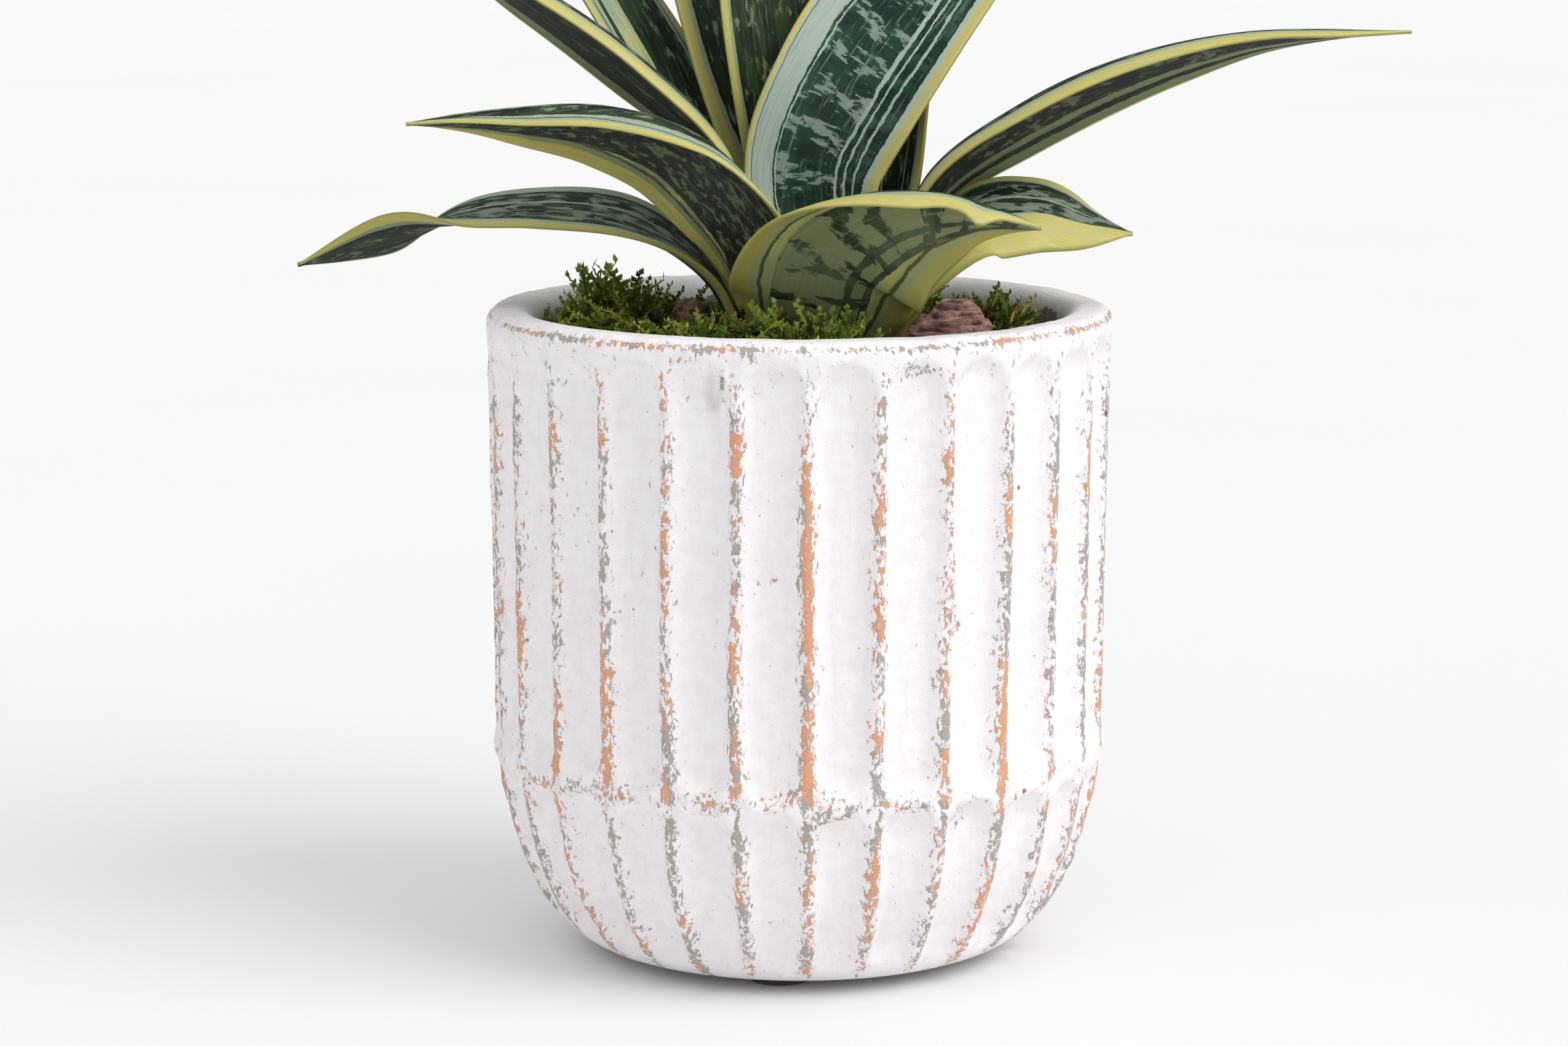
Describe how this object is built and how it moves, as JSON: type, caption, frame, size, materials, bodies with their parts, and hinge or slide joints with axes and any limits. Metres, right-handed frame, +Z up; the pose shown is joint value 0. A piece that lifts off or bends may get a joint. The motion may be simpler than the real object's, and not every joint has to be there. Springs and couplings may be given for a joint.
{
  "type": "potted snake plant",
  "caption": "Small snake plant with stiff, cream-margined, grey-banded leaves in a fluted, worn limewashed pot on felt pads, with moss and bark over the soil.",
  "frame": {"origin": "on the pot's axis, on the surface that the pads stand on", "axes": "+Z up the pot's axis, -Y towards the plant's front, +X to its right seen from the front"},
  "size_m": [0.2525, 0.1308, 0.275],
  "materials": {
    "limewashed_concrete": "matte",
    "felt": "matte",
    "soil": "matte",
    "rhizome": "matte",
    "leaf": "satin",
    "moss": "matte",
    "bark": "matte"
  },
  "bodies": {
    "root": {"pot": "limewashed_concrete", "soil": "soil", "rhizome": "rhizome", "felt_pad_front": "felt", "felt_pad_left": "felt", "felt_pad_right": "felt", "moss_front": "moss", "moss_right": "moss", "moss_back": "moss", "moss_left": "moss", "bark_chip_front": "bark", "bark_chip_left": "bark", "bark_chip_right": "bark", "leaf_back_left": "leaf", "leaf_back_low": "leaf", "leaf_back_right": "leaf", "leaf_back_upright": "leaf", "leaf_broad": "leaf", "leaf_centre": "leaf", "leaf_front": "leaf", "leaf_high_left": "leaf", "leaf_inner_back": "leaf", "leaf_inner_left": "leaf", "leaf_inner_right": "leaf", "leaf_long_right": "leaf", "leaf_low_left": "leaf", "leaf_low_right": "leaf", "leaf_mid_left": "leaf", "leaf_spear": "leaf"}
  },
  "joints": []
}
